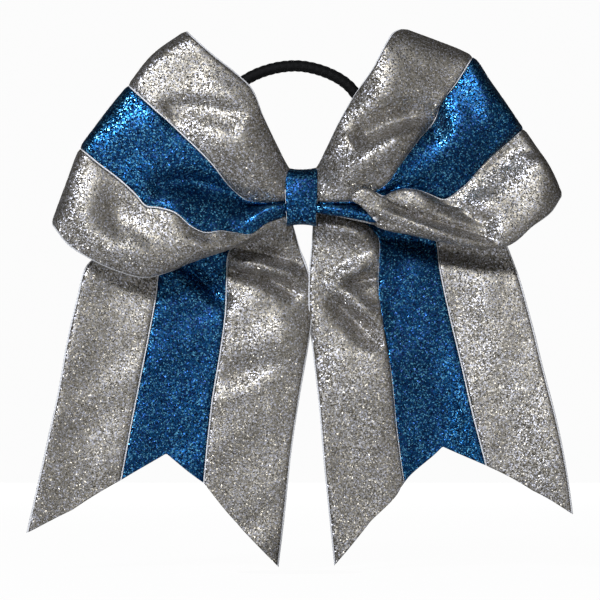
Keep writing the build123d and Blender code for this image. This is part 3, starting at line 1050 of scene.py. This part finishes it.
def cord_path(count):
    """Closed centre line of the elastic, from the CAD boxes of its two halves, in mm."""
    low, high = box_of(["elastic_knot_half"])
    far_low, far_high = box_of(["elastic_open_half"])
    radius = (far_high[1] - far_low[1]) / 2
    y = (far_low[1] + far_high[1]) / 2
    left, right = far_low[0] + radius, far_high[0] - radius
    split = (high[2] + far_low[2]) / 2
    crown = far_high[2] - radius
    foot = low[2] + radius
    middle = (left + right) / 2
    corner = split - foot
    points = [
        (0, foot),
        (right - corner, foot),
        (right - corner * 0.3, foot + corner * 0.3),
        (right, split),
        (middle + (right - middle) * 0.76, split + (crown - split) * 0.72),
        (middle + (right - middle) * 0.1, crown),
        (middle + (left - middle) * 0.74, split + (crown - split) * 0.72),
        (left, split),
        (left + corner * 0.3, foot + corner * 0.3),
        (left + corner, foot),
    ]
    ring = np.array(points + points[:1])
    wrapped = np.vstack([ring[-3:-1], ring, ring[1:3]])
    steps = np.linalg.norm(np.diff(wrapped, axis=0), axis=1)
    knots = np.concatenate([[0], np.cumsum(steps)])
    at = np.linspace(knots[2], knots[-3], count + 1)[:-1]
    flat = spline(wrapped, knots, at)
    return np.stack([flat[:, 0], np.full(count, y), flat[:, 1]], 1), radius


def braided_cord(name):
    """A round cord with the raised diamonds of a braid."""
    path, radius = cord_path(CORD_STATIONS)
    around = np.linspace(0, 2 * math.pi, CORD_SIDES + 1)[:-1]
    steps = np.linalg.norm(np.roll(path, -1, 0) - path, axis=1)
    distance = np.concatenate([[0], np.cumsum(steps)[:-1]])
    turns = round(steps.sum() / BRAID_PITCH)
    phase = 2 * math.pi * turns * distance / steps.sum()
    tangent = np.roll(path, -1, 0) - np.roll(path, 1, 0)
    tangent /= np.linalg.norm(tangent, axis=1, keepdims=True)
    depth = np.array([0.0, 1.0, 0.0])
    side = np.cross(tangent, depth)
    a, p = np.meshgrid(around, phase, indexing="ij")
    braid = np.maximum(np.cos(STRANDS / 2 * (a + p)), np.cos(STRANDS / 2 * (a - p)))
    size = radius * (1.0 + BRAID_RELIEF * braid)
    rings = (
        path[None]
        + side[None] * (np.cos(a) * size)[..., None]
        + depth[None, None] * (np.sin(a) * size)[..., None]
    )
    rows, columns = rings.shape[:2]
    index = np.arange(rows * columns).reshape(rows, columns)
    faces = np.stack(
        [index, np.roll(index, -1, 1), np.roll(np.roll(index, -1, 1), -1, 0), np.roll(index, -1, 0)], -1
    ).reshape(-1, 4)
    uv = np.stack([np.broadcast_to(distance[None], (rows, columns)), a * radius], -1)
    return make_mesh(name, rings.reshape(-1, 3), faces, uv.reshape(-1, 2), black)


cord = braided_cord("ponytail_elastic")
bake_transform(cord)
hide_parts("elastic_knot_half", "elastic_open_half")


# ---------------- Stage ----------------
WHITE_SHARE = 0.97  # how much of what the camera sees of the floor is plain white
FLOOR_RADIUS = 4.5  # the stage is in metres
COVE_RADIUS = 0.5
COVE_STEPS = 12
WALL_HEIGHT = 1.0
FLOOR_MIDDLE = 0.02  # radius of the one flat face in the middle of the floor
FLOOR_TURNS = 96
FLOOR_GAP = 0.002
LIGHTS = (  # name, place, size, power in watts, colour
    ("key", (-0.42, -1.14, 0.50), 0.18, 15.0, (0.90, 0.93, 1.0)),
    ("side", (0.95, -0.8, 0.30), 0.5, 0.6, (1.0, 0.96, 0.9)),
    ("front", (0.1, -1.4, 0.0), 0.5, 0.3, (1.0, 0.96, 0.9)),
    ("back", (0.0, 1.25, -0.05), 0.6, 9.0, (1.0, 1.0, 1.0)),
)
AMBIENT_COLOUR = (1.0, 0.94, 0.86, 1)
AMBIENT_STRENGTH = 0.045


def seen_white(tree, shade):
    """A shader that the camera sees as white, while everything else is lit by `shade`."""
    path = tree.nodes.new("ShaderNodeLightPath")
    glow = tree.nodes.new("ShaderNodeEmission")
    mix = tree.nodes.new("ShaderNodeMixShader")
    share = tree.nodes.new("ShaderNodeMath")
    share.operation = "MULTIPLY"
    share.inputs[1].default_value = WHITE_SHARE
    tree.links.new(path.outputs["Is Camera Ray"], share.inputs[0])
    tree.links.new(share.outputs[0], mix.inputs[0])
    tree.links.new(shade, mix.inputs[1])
    tree.links.new(glow.outputs[0], mix.inputs[2])
    return mix.outputs[0]


def cove_floor(x, y, z):
    """A pale round floor that curves up into a low wall all the way round, far outside every camera."""
    profile = [(FLOOR_MIDDLE, 0.0), (FLOOR_RADIUS, 0.0)]
    for i in range(1, COVE_STEPS + 1):
        angle = i / COVE_STEPS * math.pi / 2
        profile.append((FLOOR_RADIUS + COVE_RADIUS * math.sin(angle), COVE_RADIUS * (1 - math.cos(angle))))
    profile.append((FLOOR_RADIUS + COVE_RADIUS, WALL_HEIGHT))
    turns = FLOOR_TURNS
    vertices = []
    for radius, height in profile:
        for k in range(turns):
            angle = 2 * math.pi * k / turns
            vertices.append((x + radius * math.cos(angle), y + radius * math.sin(angle), z + height))
    faces = [list(range(turns))]
    for ring in range(len(profile) - 1):
        for k in range(turns):
            a = ring * turns + k
            b = ring * turns + (k + 1) % turns
            faces.append((a, b, b + turns, a + turns))
    mesh = bpy.data.meshes.new("floor")
    mesh.from_pydata(vertices, [], faces)
    mesh.polygons.foreach_set("use_smooth", [True] * len(faces))
    n = Nodes("floor_white")
    n.tree.links.new(seen_white(n.tree, n.shader.outputs[0]), n.output.inputs[0])
    mesh.materials.append(n.done(Base_Color=(0.82, 0.82, 0.82, 1), Roughness=0.9))
    add_object("floor", mesh)


def area_light(name, location, target, size, power, colour):
    """A round lamp aimed at the target."""
    light = bpy.data.lights.new(name, "AREA")
    light.shape = "DISK"
    light.size = size
    light.energy = power
    light.color = colour
    obj = add_object(name, light)
    obj.location = location
    obj.rotation_euler = (Vector(target) - Vector(location)).to_track_quat("-Z", "Y").to_euler()


centre = [(a + b) / 2 for a, b in zip(cad_low, cad_high)]
cove_floor(centre[0], centre[1], cad_low[2] - FLOOR_GAP)
for name, place, size, power, colour in LIGHTS:
    area_light(name, place, centre, size, power, colour)

world = bpy.data.worlds.new("studio")
world.use_nodes = True
tree = world.node_tree
ambient = tree.nodes["Background"]
ambient.inputs["Color"].default_value = AMBIENT_COLOUR
ambient.inputs["Strength"].default_value = AMBIENT_STRENGTH
backdrop = tree.nodes.new("ShaderNodeBackground")
camera_ray = tree.nodes.new("ShaderNodeLightPath")
pick = tree.nodes.new("ShaderNodeMixShader")
tree.links.new(camera_ray.outputs["Is Camera Ray"], pick.inputs[0])
tree.links.new(ambient.outputs[0], pick.inputs[1])
tree.links.new(backdrop.outputs[0], pick.inputs[2])
tree.links.new(pick.outputs[0], tree.nodes["World Output"].inputs[0])
bpy.context.scene.world = world
bpy.context.scene.view_settings.view_transform = "Standard"

SENSOR = 36.0  # mm
FRAMING = 1.106  # the picture's width over the bow's
CAMERA_DISTANCE = 2.6
CAMERA_DROP = 0.0008  # how far the camera aims below the bow's middle
camera_data = bpy.data.cameras.new("camera")
camera_data.sensor_width = SENSOR
camera_data.lens = SENSOR * CAMERA_DISTANCE / ((cad_high[0] - cad_low[0]) * FRAMING)
camera = add_object("camera", camera_data)
camera.location = (centre[0], centre[1] - CAMERA_DISTANCE, centre[2] - CAMERA_DROP)
camera.rotation_euler = (math.pi / 2, 0, 0)
bpy.context.scene.camera = camera
